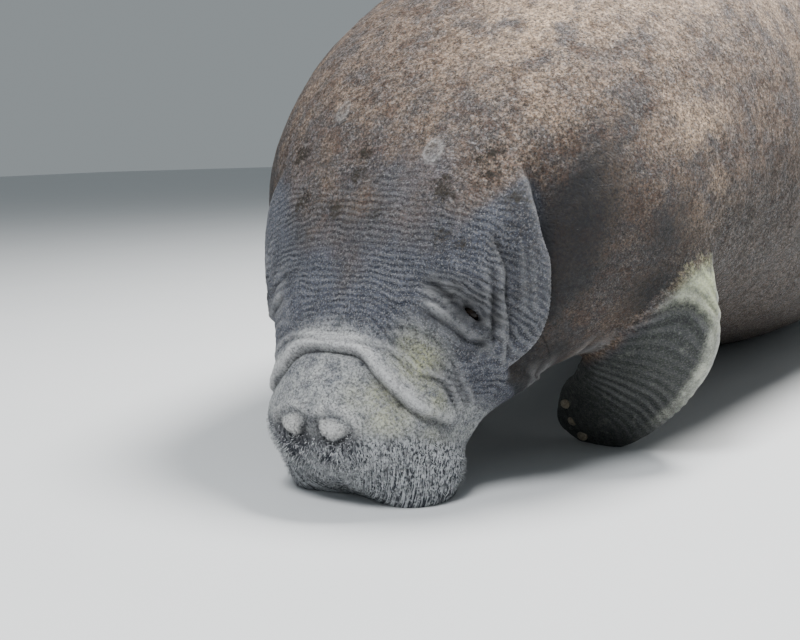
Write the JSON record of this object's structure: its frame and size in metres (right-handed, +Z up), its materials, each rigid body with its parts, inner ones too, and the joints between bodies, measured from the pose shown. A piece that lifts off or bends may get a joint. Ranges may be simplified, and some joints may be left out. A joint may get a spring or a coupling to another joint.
{
  "type": "manatee",
  "caption": "Life-size still model of an adult manatee lying on the bottom, nose down, with paddle flippers and a round flat tail.",
  "frame": {"origin": "on the floor under the middle of the animal's bounding box", "axes": "+Z up, -Y towards the head, +X to the animal's left"},
  "size_m": [0.7294, 2.869, 0.7137],
  "materials": {
    "muzzle_skin": "matt, wrinkled, with short bristles",
    "head_skin": "matt, wrinkled",
    "back_skin": "matt, speckled",
    "flipper_skin": "matt, wrinkled",
    "nail": "satin horn",
    "eye": "wet, dark brown"
  },
  "bodies": {
    "root": {"muzzle": "muzzle_skin", "lower_jaw": "muzzle_skin", "head": "head_skin", "neck": "head_skin", "chest": "back_skin", "torso": "back_skin", "loin": "back_skin", "tail_stock": "back_skin", "tail_fluke": "back_skin", "flipper_left_arm": "flipper_skin", "flipper_left_hand": "flipper_skin", "flipper_right_arm": "flipper_skin", "flipper_right_hand": "flipper_skin", "nail_left_1": "nail", "nail_left_2": "nail", "nail_left_3": "nail", "nail_right_1": "nail", "nail_right_2": "nail", "nail_right_3": "nail", "eye_left": "eye", "eye_right": "eye"}
  },
  "joints": []
}
